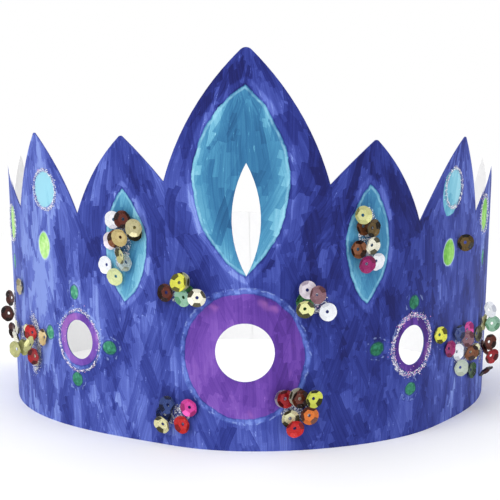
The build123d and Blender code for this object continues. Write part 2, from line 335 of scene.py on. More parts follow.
# the marker drawing on the outside, in mm: place along the strip from the front centre, and height above the rim
paintSettings = dict(
    # leaves by their tip, their foot and their widest places
    centreLeaf=dict(top=(-0.2, 117.3), bottom=(0.0, 56.9), left=(-16.5, 85), right=(13.2, 89)),
    leftLeaf=dict(top=(-43.8, 83.2), bottom=(-43.7, 46.0), left=(-51.3, 64), right=(-34.4, 66.5)),
    rightLeaf=dict(top=(40.4, 85.5), bottom=(39.9, 46.6), left=(32.0, 67), right=(47.8, 70)),
    rightDrop=dict(top=(86.5, 88.0), bottom=(79.0, 72.4), left=(75.6, 79.5), right=(89.6, 81.0)),
    # ovals by their middle and their two radii
    cyans=[(-82.0, 80.5, 6.3, 6.2), (83.6, 81.0, 6.3, 6.3)],
    purples=[(-0.9, 30.9, 19.3, 20.5), (-65.4, 30.9, 9.5, 9.0), (60.9, 30.8, 9.0, 9.0)],
    limes=[(-83.3, 61.0, 3.7, 4.5), (82.0, 59.4, 4.6, 4.4), (-117.5, 65.6, 5.2, 6.0), (119.4, 69.0, 4.9, 6.0)],
    greens=[(-66.9, 46.8, 2.1, 2.2), (-51.2, 29.9, 2.8, 2.2), (-66.7, 16.9, 2.6, 2.5), (-81.8, 31.0, 2.4, 2.4),
            (60.5, 45.2, 2.4, 2.3), (44.2, 31.1, 2.4, 2.2), (59.8, 16.0, 2.5, 2.2), (78.8, 30.2, 2.0, 1.9),
            (119.6, 53.0, 1.7, 2.7), (-117.6, 51.0, 1.7, 2.7)],
    # tips of the points that lead the strokes, and the valleys between them
    tips=[(-130, 85.5), (-87.6, 99.5), (-43.8, 100.4), (0.3, 129.0), (42.1, 99.5), (92.5, 98.1), (132, 85)],
    valleys=[-103.2, -64, -27, 26.2, 61.9, 106],
    half=200,                                          # the drawing reaches this far to each side
    fan=dict(width=42, above=16, least=9.0, low=58, high=92),
    inkEnds=(-186, 187), ragged=0.4,                   # where the ink stops, and how soft that edge is
    hand=dict(slow=0.11, slowWay=1.8, quick=0.7, quickWay=0.5),    # how often and how far the hand wanders
    # passes of the marker: width and length of a patch, turn in degrees, width of the pen, seed, weight
    passes=[(4.4, 22, 3, 1.35, 3.1, 0.34), (5.6, 14, -20, 1.5, 11.7, 0.34), (4.6, 11.5, 25, 1.3, 23.9, 0.3)],
    covers=(0.08, 0.16), coverSoft=0.01,               # patch weights at which the later passes hide what is below
    # a stroke: wander in mm, steps at a patch's ends, its dark seam, shares of tone and seam, fineness of its streaks
    stroke=dict(wander=1.3, steps=5, seam=(0.36, 0.5), tone=0.5, dark=0.35, streaks=(2.3, 0.06)),
    # what thickens the ink, and what thins it
    thick=dict(patch=0.4, streak=0.42, tone=0.2, grain=0.2),
    thin=dict(leafBorder=0.24, purpleGlow=0.32, dotGlow=0.16, specks=0.5),
    slope=dict(base=50, each=0.0026, between=(85, 50)),    # thicker towards the tips of the front points
    specks=dict(fine=(1.6, 0.26, 31.0), between=(0.73, 0.85), grain=(0.42, 0.56)),
    scales=dict(patch=0.055, grain=3.2, gaps=0.32, scratch=0.4, pink=0.12, tooth=5.5, coarse=1.3),
    # how dark the inks are at each place along the strip: darker on the right of the front, paler at the far sides
    darkAlong=[(-200, 0.14), (-120, 0.16), (-84, 0.2), (-52, 0.45), (-32, 0.46), (-22, 0.55), (0, 0.57), (32, 0.72),
          (64, 0.70), (88, 0.36), (120, 0.35), (200, 0.3)],
    # soft outlines of the inks, in mm inside their shape
    edges=dict(leaf=(-0.14, 0.14), cyan=(-0.1, 0.2), purple=(-0.14, 0.14), lime=(-0.1, 0.15), green=(-0.1, 0.15)),
    # lines and glows beside the outlines: from, full, full, to, in mm inside the shape
    leafBorder=(-2.7, -1.7, -0.7, -0.1), leafLine=(0.15, 0.4, 0.7, 1.1), purpleGlow=(-2.2, -1.2, -0.6, -0.05),
    dotGlow=(-1.1, -0.6, -0.3, -0.1), limeLine=(-0.5, -0.15, 0.0, 0.25), scratchLine=(-1.95, -1.6, -1.5, -1.15),
    pinkEdge=(-0.1, 0.3, 1.5, 4.5), dotEdge=(-0.55, -0.2),
    lineColours=dict(leaf=(0.36, 0.68, 0.82, 1), cyan=(0.22, 0.72, 0.86, 1), pink=(0.48, 0.18, 0.52, 1),
                     glow=(0.15, 0.27, 0.70, 1), dot=(0.012, 0.05, 0.10, 1), scratch=(0.36, 0.47, 0.84, 1),
                     lime=(0.62, 0.80, 0.86, 1)),
    # each ink from thin to thick
    blue=[(0.0, (0.22, 0.30, 0.70)), (0.14, (0.118, 0.165, 0.55)), (0.36, (0.060, 0.087, 0.385)),
          (0.56, (0.033, 0.050, 0.28)), (0.78, (0.018, 0.027, 0.19)), (1.0, (0.010, 0.013, 0.11))],
    cyan=[(0.0, (0.29, 0.60, 0.75)), (0.25, (0.145, 0.42, 0.59)), (0.5, (0.062, 0.25, 0.43)),
          (0.75, (0.031, 0.15, 0.315)), (1.0, (0.016, 0.08, 0.2))],
    violet=[(0.0, (0.46, 0.26, 0.68)), (0.25, (0.27, 0.13, 0.52)), (0.5, (0.165, 0.068, 0.40)),
            (0.75, (0.10, 0.038, 0.29)), (1.0, (0.055, 0.02, 0.18))],
    lime=[(0.0, (0.66, 0.90, 0.44)), (0.35, (0.42, 0.76, 0.24)), (0.7, (0.25, 0.60, 0.12)),
          (1.0, (0.14, 0.42, 0.07))],
    green=[(0.0, (0.16, 0.50, 0.30)), (0.35, (0.06, 0.30, 0.18)), (0.7, (0.028, 0.185, 0.105)),
           (1.0, (0.012, 0.10, 0.055))],
    bare=((0.83, 0.83, 0.83, 1), (0.87, 0.87, 0.87, 1)),
    whiteCard=dict(shade=(0.85, 0.85, 0.86), light=(0.89, 0.89, 0.895)),
    cutEdge=dict(bare=(0.86, 0.86, 0.85, 1), inkStops=(122, 112), fray=8,
                 ink=[(0.25, (0.018, 0.024, 0.14)), (0.6, (0.05, 0.07, 0.33)), (0.8, (0.16, 0.2, 0.6))]),
    outside=0.75,                                      # how squarely a face of either side faces outwards or inwards
)


def circleThrough(a, b, c):
    # centre and radius of the circle through three points: equal distances give two linear equations
    (ax, ay), (bx, by), (cx, cy) = a, b, c
    left = np.array([[bx - ax, by - ay], [cx - ax, cy - ay]]) * 2
    right = np.array([bx**2 - ax**2 + by**2 - ay**2, cx**2 - ax**2 + cy**2 - ay**2])
    x, y = np.linalg.solve(left, right)
    return x, y, math.hypot(ax - x, ay - y)


def fanOut(p, s, across, up):
    # strokes stand upright on the strap; on a point, their distance from its middle line is widened
    # by a fixed width over the height that is left up to the fan's centre, a little above the tip
    half, fan = s["half"], s["fan"]
    starts = [-half] + s["valleys"]
    stops = [((start + half) / (2 * half), (x / (2 * half) + 0.5, y / half, 0))
             for start, (x, y) in zip(starts, s["tips"])]
    tipX, tipY = p.parts(p.ramp((across + half) / (2 * half), stops, "CONSTANT"))[:2]
    tipX = (tipX - 0.5) * (2 * half)
    spread = fan["width"] / (tipY * half + fan["above"] - up).most(fan["least"])
    return tipX + (across - tipX) * (1 + (spread - 1) * p.rise(up, fan["low"], fan["high"]))


def penStrokes(p, s, fanned, up, wander, wide, long, turn, pen, seed):
    # one pass of the marker: pen strokes side by side, bundled into patches with stepped ends;
    # the patch weight comes from box-like cells, the stroke's own tone from its number and its dark seam
    turn = math.radians(turn)
    x = (fanned * math.cos(turn) + up * math.sin(turn) + wander * s["wander"]) / pen + seed
    y = up * math.cos(turn) - fanned * math.sin(turn)
    number = x.floor()
    own = p.node("ShaderNodeTexWhiteNoise", dict(noise_dimensions="1D"), {"W": number}, "Color")
    tone, step = p.parts(own)[:2]
    seam = p.rise((x - number - 0.5).size(), *s["seam"])
    streak = p.noise(p.point(x * s["streaks"][0], y * s["streaks"][1]), 1.0)
    y = y + (step - 0.5) * s["steps"]
    weight = p.cells(p.point(number * pen / wide, y / long + seed), 1.0, "2D", "CHEBYCHEV")
    return weight - 0.5, (tone - 0.5) * s["tone"] + seam * s["dark"], streak - 0.5


def makeInkedCard(s):
    p = Paint("markerInk")
    across, up = p.wallPlace()
    spot = p.point(across, up)
    hand, half, edges, colours = s["hand"], s["half"], s["edges"], s["lineColours"]
    thick, thin, scales = s["thick"], s["thin"], s["scales"]
    driftX, driftY = p.parts(p.noise(spot, hand["slow"], 1.0, "Color"))[:2]
    shakeX, shakeY = p.parts(p.noise(spot, hand["quick"], 1.0, "Color"))[:2]
    handX = across + (driftX - 0.5) * hand["slowWay"] + (shakeX - 0.5) * hand["quickWay"]
    handY = up + (driftY - 0.5) * hand["slowWay"] + (shakeY - 0.5) * hand["quickWay"]

    def disc(x, y, rx, ry):
        # how far inside an oval a place is, in mm, worked out at the oval's narrow radius
        return (1.0 - p.reach(p.point((handX - x) / rx, (handY - y) / ry))) * min(rx, ry)

    def leaf(d):
        # inside both circles: the one through the left side and the one through the right side
        depths = []
        for side in ("left", "right"):
            x, y, r = circleThrough(d["top"], d[side], d["bottom"])
            depths.append(r - p.reach(p.point(handX - x, handY - y)))
        return depths[0].least(depths[1])

    def joined(depths):
        whole = depths[0]
        for depth in depths[1:]:
            whole = whole.most(depth)
        return whole

    leaves = joined([leaf(s[name]) for name in ("centreLeaf", "leftLeaf", "rightLeaf")])
    cyans = joined([disc(*c) for c in s["cyans"]] + [leaf(s["rightDrop"])])
    purples = joined([disc(*c) for c in s["purples"]])
    limes = joined([disc(*c) for c in s["limes"]])
    greens = joined([disc(*c) for c in s["greens"]])

    fanned = fanOut(p, s, across, up)
    strokes = [penStrokes(p, s["stroke"], fanned, up, driftX - 0.5, *one[:-1]) for one in s["passes"]]
    (first, second, third), tones, streaks = zip(*strokes)
    covers = [p.rise(layer, low, low + s["coverSoft"]) for layer, low in zip((second, third), s["covers"])]

    def onTop(values):
        # a later pass hides the values of the passes below it, where it is laid at all
        shown = values[0]
        for value, cover in zip(values[1:], covers):
            shown = shown * (1 - cover) + value * cover
        return shown

    tone, streak = onTop(tones), onTop(streaks)
    darkAlong = p.ramp((across + half) / (2 * half), [((x + half) / (2 * half), (ink,) * 3) for x, ink in s["darkAlong"]])
    weights = [one[-1] for one in s["passes"]]
    laid = first * weights[0] + second * weights[1] + third * weights[2]
    slope = s["slope"]
    height = (up - slope["base"]) * slope["each"] * p.rise(across.size(), *slope["between"])
    patch = p.noise(spot, scales["patch"]) - 0.5
    density = darkAlong + height + laid + patch * thick["patch"] + streak * thick["streak"] + tone * thick["tone"]

    # where two marker colours meet there is a paler line, and the leaves have a light violet border
    grain = p.noise(spot, scales["grain"], 3.0)
    broken = p.rise(p.noise(spot, scales["gaps"], 3.0), 0.3, 0.68)
    glow = p.band(purples, *s["purpleGlow"]) * broken
    dotGlow = p.band(greens.most(limes), *s["dotGlow"]) * broken
    border = p.band(leaves, *s["leafBorder"])
    density = density - border * thin["leafBorder"] - glow * thin["purpleGlow"] - dotGlow * thin["dotGlow"]
    fineX, fineY, seed = s["specks"]["fine"]
    dash = p.noise(p.point(fanned * fineX, up * fineY, seed), 1.0, 0.0)
    specks = p.rise(dash, *s["specks"]["between"]) * p.rise(grain, *s["specks"]["grain"])
    density = density + (grain - 0.5) * thick["grain"] - specks * thin["specks"]

    # the other inks follow the strokes of the blue, each more or less strongly
    wash = (density - darkAlong - patch * 0.36) * 0.9 + darkAlong
    deep = (p.rise(leaves, 0.5, 7.0) - 0.5) * 0.24
    blue = p.ramp(density, s["blue"])
    cyan = p.ramp(wash - first * 0.6 - third * 0.3 - 0.13 + deep, s["cyan"])
    side = p.rise(across, -16, 16) * 0.2
    violet = p.ramp(wash * 0.8 + patch * 0.4 + side + (up - 31) * 0.005 + 0.14, s["violet"])
    lime = p.ramp(wash + p.rise(across, 20, 80) * 0.2 + (shakeX - 0.5) * 0.5 + 0.16, s["lime"])
    green = p.ramp(wash + (shakeX - 0.5) * 1.4 + 0.12, s["green"])

    # thin pale scratches wander round the dots and the rings
    off = greens.most(purples) + (shakeY - 0.5) * 1.6
    scratch = p.band(off, *s["scratchLine"]) * p.rise(p.noise(spot, scales["scratch"]), 0.5, 0.58)
    leafLine = p.band(leaves, *s["leafLine"]) * (0.25 + broken * 0.75)
    pink = p.rise(p.noise(spot, scales["pink"]) + (0.5 - darkAlong) * 0.35, 0.52, 0.66) * p.band(purples, *s["pinkEdge"])

    # from the first to the last on top, each ink ending at its own wandering edge
    base = blue
    for share, colour in (
        (p.rise(leaves, *edges["leaf"]), cyan),
        (leafLine * 0.5, colours["leaf"]),
        (p.rise(cyans, *edges["cyan"]), p.blend(0.2, cyan, colours["cyan"], "SCREEN")),
        (p.rise(purples, *edges["purple"]), violet),
        (pink * 0.4, colours["pink"]),
        (glow * 0.35, colours["glow"]),
        (p.rise(greens, *s["dotEdge"]) * 0.6, colours["dot"]),
        (scratch * 0.4, colours["scratch"]),
        (p.rise(limes, *edges["lime"]), lime),
        (p.rise(greens, *edges["green"]), green),
        (p.band(limes, *s["limeLine"]) * 0.55, colours["lime"]),
    ):
        base = p.blend(share, base, colour)

    # bare white card round the back, behind a ragged edge of strokes
    (left, right), soft = s["inkEnds"], s["ragged"]
    inked = p.band(across + first * 9 + streak * 5, left - soft, left + soft, right - soft, right + soft)
    base = p.blend(inked, p.blend(grain * 0.5, *s["bare"]), base)

    tooth = p.noise(spot, scales["tooth"], 3.0) * 0.6 + p.noise(spot, scales["coarse"]) * 0.4
    return p.finish({
        "Base Color": base, "Roughness": 0.62 - (density - 0.5) * 0.12 * inked,
        "Normal": p.bump(tooth + streak * 0.25, 0.00006, 0.5), "Specular IOR Level": 0.12,
    })


def makePlainCard(s):
    p = Paint("whiteCard")
    fibre = p.noise(p.place(), 900, 3.0)
    cloud = p.noise(p.place(), 35)
    return p.finish({
        "Base Color": p.ramp(fibre * 0.45 + cloud * 0.55, [(0.3, s["shade"]), (0.7, s["light"])]),
        "Roughness": 0.72 - fibre * 0.12, "Normal": p.bump(fibre, 0.00005, 0.4), "Specular IOR Level": 0.3,
    })


def makeCutEdge(s):
    p = Paint("cutEdge")
    across, up = p.wallPlace()
    fray = p.noise(p.point(across, up), 1.4, 3.0)
    inked = p.rise(across.size() + (fray - 0.5) * s["fray"], *s["inkStops"])
    return p.finish({
        "Base Color": p.blend(inked, s["bare"], p.ramp(fray, s["ink"])),
        "Roughness": 0.8 - fray * 0.1, "Specular IOR Level": 0.3,
    })


def makeCard(s):
    # the same surface as the card of the frame, with the wall's own smooth normals and its place and height as UV
    places, triangles = cardPlaces, cardTriangles
    along = wall.placeOf(places)
    normals = faceNormals(places, triangles)
    middles = places[triangles].mean(axis=1)
    facing = (normals * wall.normalAt(wall.placeOf(middles))).sum(axis=1)
    kind = np.where(facing > s["outside"], 0, np.where(facing < -s["outside"], 1, 2))
    materials = [makeInkedCard(s), makePlainCard(s["whiteCard"]), makeCutEdge(s["cutEdge"])]
    card = newPiece("crownCard", places, triangles, materials, "card", "crown_card", True, kind)
    # a triangle that lies across the back's joint of the UV counts on beyond the full length
    cornerPlace = along[triangles]
    wide = cornerPlace.max(axis=1) - cornerPlace.min(axis=1) > wall.length / 2
    cornerPlace = np.where(wide[:, None] & (cornerPlace < 0), cornerPlace + wall.length, cornerPlace)
    uv = np.stack([cornerPlace.ravel(), places[triangles].reshape(-1, 3)[:, 2]], axis=1) / mm
    layer = card.data.uv_layers.new(name="wallPlace")
    layer.uv.foreach_set("vector", uv.astype(np.float32).ravel())
    smooth = wall.normalAt(along)[triangles] * np.where(kind == 0, 1.0, -1.0)[:, None, None]
    corner = np.where((kind == 2)[:, None, None], normals[:, None, :], smooth)
    card.data.normals_split_custom_set(corner.reshape(-1, 3).tolist())


makeCard(paintSettings)
print("card made")


sequinSettings = dict(
    # one cup in mm: rim, six-sided floor and hole by their radius, depth of the cup, thickness of the film
    radius=2.97, floor=1.7, hole=0.55, depth=0.88, thickness=0.14, turns=24,
    nearHole=8, nearRim=12,              # how many corners of a node's cup surely lie at its hole and at its rim
    paintedReflectionFacets=4.4,                      # facets painted dark as a painted reflection of the dark room, at a share of one
    # films of the mixed heaps, from left to right
    heaps=dict(
        sequin_right_heap_red=["magenta", "pink", "garnet", "rose"],
        sequin_right_heap_dark=["mauve", "brown", "garnet", "dark"],
        sequin_right_heap_green=["forest", "moss", "sea_green"],
        sequin_right_heap_pale=["white", "frost", "ivory", "khaki"],
        sequin_left_heap_red=["red", "rose"],
        sequin_left_heap_pale=["pale", "cream", "ivory"],
    ),
    # colour of the floor, colour of the dark facets (a painted reflection of the dark room), how many facets go dark,
    # metal, opacity
    films=dict(
        beige=((0.52, 0.47, 0.33), (0.26, 0.23, 0.13), 0.3, 0.3, 1.0),
        black=((0.12, 0.075, 0.022), (0.006, 0.005, 0.003), 0.7, 0.7, 1.0),
        blue=((0.045, 0.08, 0.27), (0.008, 0.012, 0.05), 0.7, 0.4, 0.9),
        blush=((0.80, 0.74, 0.80), (0.52, 0.44, 0.54), 0.3, 0.1, 0.9),
        brown=((0.24, 0.085, 0.035), (0.025, 0.008, 0.004), 0.6, 0.4, 1.0),
        clear=((0.62, 0.74, 0.74), (0.50, 0.52, 0.36), 0.25, 0.1, 0.5),
        cream=((0.88, 0.86, 0.72), (0.03, 0.026, 0.006), 0.6, 0.35, 1.0),
        dark=((0.075, 0.018, 0.014), (0.012, 0.006, 0.006), 0.7, 0.5, 1.0),
        dark_gold=((0.55, 0.48, 0.19), (0.02, 0.018, 0.006), 0.9, 0.5, 1.0),
        forest=((0.03, 0.09, 0.03), (0.006, 0.02, 0.006), 0.6, 0.3, 1.0),
        frost=((0.60, 0.68, 0.58), (0.5, 0.56, 0.46), 0.1, 0.1, 0.9),
        garnet=((0.12, 0.022, 0.012), (0.012, 0.003, 0.003), 0.8, 0.4, 1.0),
        gold=((0.80, 0.62, 0.32), (0.05, 0.02, 0.005), 0.5, 0.4, 1.0),
        green=((0.09, 0.34, 0.12), (0.02, 0.11, 0.03), 0.5, 0.3, 0.9),
        ivory=((0.88, 0.88, 0.56), (0.025, 0.022, 0.007), 0.7, 0.4, 1.0),
        khaki=((0.50, 0.46, 0.26), (0.30, 0.28, 0.12), 0.1, 0.35, 1.0),
        lilac=((0.68, 0.64, 0.78), (0.28, 0.2, 0.34), 0.4, 0.15, 0.9),
        lime=((0.66, 0.70, 0.10), (0.03, 0.03, 0.005), 0.7, 0.45, 1.0),
        magenta=((0.29, 0.006, 0.12), (0.16, 0.005, 0.06), 0.4, 0.3, 1.0),
        mauve=((0.28, 0.14, 0.17), (0.12, 0.035, 0.045), 0.5, 0.2, 0.85),
        moss=((0.09, 0.095, 0.03), (0.012, 0.012, 0.005), 0.7, 0.4, 1.0),
        navy=((0.03, 0.05, 0.2), (0.006, 0.01, 0.04), 0.7, 0.4, 0.85),
        olive=((0.50, 0.50, 0.22), (0.16, 0.16, 0.05), 0.25, 0.35, 1.0),
        olive_gold=((0.62, 0.60, 0.28), (0.02, 0.02, 0.006), 0.9, 0.5, 1.0),
        orange=((0.78, 0.21, 0.035), (0.06, 0.008, 0.003), 0.8, 0.4, 1.0),
        pale=((0.80, 0.79, 0.66), (0.34, 0.31, 0.18), 0.4, 0.25, 1.0),
        pale_gold=((0.84, 0.80, 0.44), (0.025, 0.02, 0.006), 0.7, 0.45, 1.0),
        pale_green=((0.66, 0.72, 0.38), (0.45, 0.50, 0.22), 0.1, 0.15, 1.0),
        pale_yellow=((0.85, 0.86, 0.42), (0.02, 0.02, 0.005), 0.8, 0.45, 1.0),
        pearl=((0.86, 0.87, 0.90), (0.62, 0.60, 0.66), 0.3, 0.15, 1.0),
        pink=((0.66, 0.055, 0.34), (0.32, 0.015, 0.15), 0.4, 0.25, 1.0),
        red=((0.58, 0.016, 0.016), (0.20, 0.006, 0.008), 0.5, 0.3, 1.0),
        rose=((0.36, 0.008, 0.015), (0.08, 0.003, 0.006), 0.6, 0.3, 1.0),
        sea_green=((0.36, 0.62, 0.46), (0.13, 0.36, 0.20), 0.4, 0.2, 0.85),
        silver=((0.78, 0.80, 0.66), (0.03, 0.03, 0.015), 0.7, 0.5, 0.9),
        tan=((0.56, 0.45, 0.20), (0.30, 0.22, 0.08), 0.1, 0.35, 1.0),
        white=((0.84, 0.86, 0.90), (0.60, 0.62, 0.68), 0.25, 0.1, 1.0),
        yellow=((0.80, 0.80, 0.10), (0.07, 0.065, 0.005), 0.6, 0.4, 1.0),
    ),
)


def makeFilm(name, film):
    base, dark, share, metal, opacity = film
    p = Paint("film_" + name)
    cloud = p.noise(p.place(), 620, 3.0)
    paleFleck = p.noise(p.place(), 2600)
    # the shade attribute blends in the dark colour: a painted reflection on the dark facets and painted shade in the
    # hole
    colour = p.blend(p.faceValue("shade"), (*base, 1), (*dark, 1))
    stain = tuple(0.35 + 0.65 * c for c in base) + (1,)
    colour = p.blend(p.rise(cloud, 0.35, 0.75) * 0.35, colour, stain, "MULTIPLY")
    # fine pale flecks lighten the film here and there
    colour = p.blend(p.rise(paleFleck, 0.62, 0.8) * 0.25, colour, (0.8, 0.8, 0.8, 1), "SCREEN")
    return p.finish({
        "Base Color": colour, "Metallic": metal, "Roughness": 0.18 + cloud * 0.2, "Alpha": opacity,
        "Normal": p.bump(cloud * 0.7 + paleFleck * 0.3, 0.00004, 0.35),
        "Coat Weight": 0.15, "Coat Roughness": 0.1, "Specular IOR Level": 0.3,
    })


def looseParts(places, triangles):
    # each vertex takes the lowest label among the triangles it is in, until nothing changes
    labels = np.arange(len(places))
    while True:
        low = labels[triangles].min(axis=1)
        fresh = labels.copy()
        for k in range(3):
            np.minimum.at(fresh, triangles[:, k], low)
        if (fresh == labels).all():
            return [np.where(labels == label)[0] for label in np.unique(labels[triangles])]
        labels = fresh


def cupFrame(points, s):
    # middle of the floor and the three directions of a cup: its axis is the way in which it is thinnest,
    # turned so that the rim stands higher than the hole, and its first side points to a corner of the hexagon
    middle = points.mean(axis=0)
    axis = np.linalg.svd(points - middle)[2][2]
    height = (points - middle) @ axis
    radial = points - middle - height[:, None] * axis
    radius = np.linalg.norm(radial, axis=1)
    order = np.argsort(radius)
    hole, rim, corner = order[:s["nearHole"]], order[-s["nearRim"]:], order[s["nearHole"]]
    if height[rim].mean() < height[hole].mean():
        axis = -axis
    side = radial[corner] / radius[corner]
    return points[hole].mean(axis=0), np.stack([side, np.cross(axis, side), axis])


def cupPoints(s):
    # rows of a closed profile carried round: hole, fold and rim on the underside, then rim, fold and hole on top;
    # the fold runs round a hexagon, and height rises from it in proportion to the distance beyond the hexagon
    turn = np.arange(s["turns"]) * 2 * math.pi / s["turns"]
    side = np.cos((turn % (math.pi / 3)) - math.pi / 6)
    hole, fold, rim = np.full_like(turn, s["hole"]), s["floor"] / side, np.full_like(turn, s["radius"])
    slope = s["depth"] / (s["radius"] - s["floor"])
    rows = []
    for radius, lift in ((hole, 0), (fold, 0), (rim, 0), (rim, 1), (fold, 1), (hole, 1)):
        height = np.maximum(radius * side - s["floor"], 0) * slope + (lift - 0.5) * s["thickness"]
        rows.append(np.stack([radius * np.cos(turn), radius * np.sin(turn), height], axis=1))
    return np.stack(rows) * mm


def makeSequins(s):
    chance = np.random.default_rng(7)
    films = {name: makeFilm(name, film) for name, film in s["films"].items()}
    pattern = cupPoints(s)
    rows, turns = pattern.shape[:2]
    pattern = pattern.reshape(-1, 3)
    faces = gridFaces(rows, turns, closedRows=True, closedColumns=True)[:, ::-1]
    row = np.arange(rows).repeat(turns)
    facet = np.tile(np.arange(turns) * 6 // turns, rows)
    onFacet, inHole = (row == 1) | (row == 3), row == rows - 1
    count = 0
    for node in sorted(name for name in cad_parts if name.startswith("sequin_")):
        colour = max((name for name in s["films"] if node.endswith("_" + name)), key=len)
        share = s["films"][colour][2]
        names = s["heaps"].get(node, [colour])
        places, triangles = mergedNode(node)
        parts = looseParts(places, triangles)
        parts.sort(key=lambda part: wall.placeOf(places[part].mean(axis=0)[None])[0])
        points, quads, shades, kinds = [], [], [], []
        for number, part in enumerate(parts):
            floor, ways = cupFrame(places[part], s)
            points.append(floor + pattern @ ways)
            quads.append(faces + number * len(faces))
            kinds.append(np.full(len(faces), number % len(names)))
            # painted reflection: some facets are painted in the dark colour as if they mirrored the dark side of the
            # room, mostly every second one
            order = (np.arange(6) * 2 + chance.integers(6)) % 6 + (np.arange(6) > 2)
            facetReflection = chance.uniform(0, 0.3 * share, 6)
            facetReflection[order[:int(round(share * s["paintedReflectionFacets"]))] % 6] = chance.uniform(0.93, 1.0)
            # the hole's wall is painted fully dark as painted shade; the facets take their painted reflection, and
            # the rest of the cup stays nearly bright
            shades.append(np.where(onFacet, facetReflection[facet], np.where(inHole, 1.0, chance.uniform(0, 0.1))))
        piece = newPiece(node + "_film", np.vstack(points), np.vstack(quads), [films[name] for name in names],
                         "sequin_" + colour, node, False, np.concatenate(kinds))
        giveFaces(piece, "shade", np.clip(np.concatenate(shades), 0, 1))
        count += len(parts)
    print("sequins made:", count)


makeSequins(sequinSettings)


# dried glue and loose flakes, in mm
glitterSettings = dict(
    flake=0.19, rise=0.52,               # half the width of a flake, height of the beads round the rings
    # rings: middle, two radii, width of the bead, flakes, share of pink ones
    holeRings=[(-65.3, 30.4, 10.2, 10.2, 0.8, 330, 0.22), (60.4, 30.8, 9.6, 10.0, 1.5, 560, 0.55)],
    circleRings=[(-81.8, 80.4, 6.9, 6.6, 1.0, 330, 0.1), (83.8, 81.2, 6.5, 6.6, 1.0, 330, 0.1),
                 (-117.5, 65.2, 6.5, 6.5, 1.0, 260, 0.1), (118.4, 69.1, 6.3, 6.5, 1.0, 260, 0.1)],
    stray=0.06, strayWay=1.5,            # share of a ring's flakes that went astray, and how far
    sunk=0.03, across=9,                 # how deep a bead's foot lies, and its points from side to side
    uneven=dict(width=0.35, height=0.3, grain=0.07, ring=0.03, dab=0.12),
    bow=dict(middle=(-102.5, 25), radius=12.5, reach=9.4, width=2.55, rise=0.4, flakes=1100, spread=1.1),
    # dabs: middle, width and height
    dabs=[(-44.5, 66, 8, 20), (-21, 50.5, 11, 6), (21.5, 48.5, 9, 8), (-24, 10.5, 11, 7), (17, 13, 11, 9),
          (39.5, 68, 7, 20), (100, 24, 24, 12), (124, 22, 10, 18), (-102, 25, 18, 12), (-125, 33, 8, 14)],
    dabRise=0.46, dabFlakes=1.6,         # height of a dab, and flakes for each square millimetre of its box
    bright=0.82, pinkFrom=0.83,          # tones up to bright are silver, those from pinkFrom to 1 are pink
    # each flake's tone is a painted glint: silver runs from dark, for a flake that catches no light, to white for one
    # that catches it; pink runs from light to dark pink, while pink or silver is the flake's own colour
    silver=[(0.0, (0.10, 0.11, 0.2)), (0.25, (0.5, 0.52, 0.62)), (0.4, (0.93, 0.94, 0.96)), (0.8, (0.98, 0.98, 0.98)),
            (0.83, (0.86, 0.42, 0.72)), (1.0, (0.6, 0.12, 0.42))],
    # colours of the glue's cells: clear dark blue up to the white of a painted glint of the glitter in it
    glue=[(0.0, (0.07, 0.08, 0.22)), (0.5, (0.30, 0.30, 0.55)), (0.8, (0.8, 0.82, 0.9)), (1.0, (0.95, 0.95, 0.97))],
)


def makeFlake(s):
    p = Paint("silverFlake")
    mark = p.noise(p.place(), 3000)
    return p.finish({
        # the flake's colour is its painted glint, read from its tone
        "Base Color": p.ramp(p.faceValue("tone"), s["silver"]), "Metallic": 0.1, "Roughness": 0.2 + mark * 0.2,
    })


def makeClearGlue(s):
    p = Paint("clearGlue")
    cloud = p.noise(p.place(), 700, 3.0)
    # cells painted from dark to white, and more opaque where white: painted glints of the glitter in the glue
    tone = p.cells(p.place(), 2300)
    return p.finish({
        "Base Color": p.ramp(tone, s["glue"]), "Roughness": 0.12 + cloud * 0.2,
        "Normal": p.bump(cloud + tone * 0.5, 0.0001, 0.6),
        "Alpha": 0.16 + p.rise(tone, 0.66, 0.8) * 0.6, "Specular IOR Level": 0.3,
    })


flakeMaterial = makeFlake(glitterSettings)
glueMaterial = makeClearGlue(glitterSettings)
scatter = np.random.default_rng(20)


def wobble(turn, depth, seed):
    # a slow uneven line: five waves of random phase
    phases = np.random.default_rng(seed).uniform(0, 2 * math.pi, 5)
    return depth * sum(np.sin(turn * (k + 2) + phase) / (k + 2) for k, phase in enumerate(phases))


def beadPoints(path, width, height, seed, closed=True):
    # half-round bead carried along a path on the wall: sideways by the cosine and up by the sine, both uneven,
    # with its foot a little below the card's surface
    s, steps = glitterSettings, len(path)
    sunk, count, uneven = s["sunk"], s["across"], s["uneven"]
    t = np.linspace(0, 2 * math.pi, steps, endpoint=not closed)
    ahead = np.roll(path, -1, axis=0) - np.roll(path, 1, axis=0) if closed else np.gradient(path, axis=0)
    ahead /= np.linalg.norm(ahead, axis=1, keepdims=True)
    side = np.stack([ahead[:, 1], -ahead[:, 0]], axis=1)
    over = np.linspace(0, math.pi, count)
    grain = np.random.default_rng(seed).normal(0, uneven["grain"], (steps, count))
    wide = width * (1 + wobble(t, uneven["width"], seed))[:, None]
    off = np.cos(over)[None] * wide / 2
    lift = np.sin(over)[None] * height * (1 + wobble(t, uneven["height"], seed + 1)[:, None] + grain) - sunk
    if not closed:
        taper = np.sqrt(np.clip(1 - np.abs(np.linspace(-1, 1, steps)) ** 6, 0, 1))[:, None]
        off, lift = off * taper, (lift + sunk) * taper - sunk
    spot = path[:, None] + off[..., None] * side[:, None]
    return wall.point(spot[..., 0] * mm, spot[..., 1] * mm, np.minimum(lift, height) * mm)


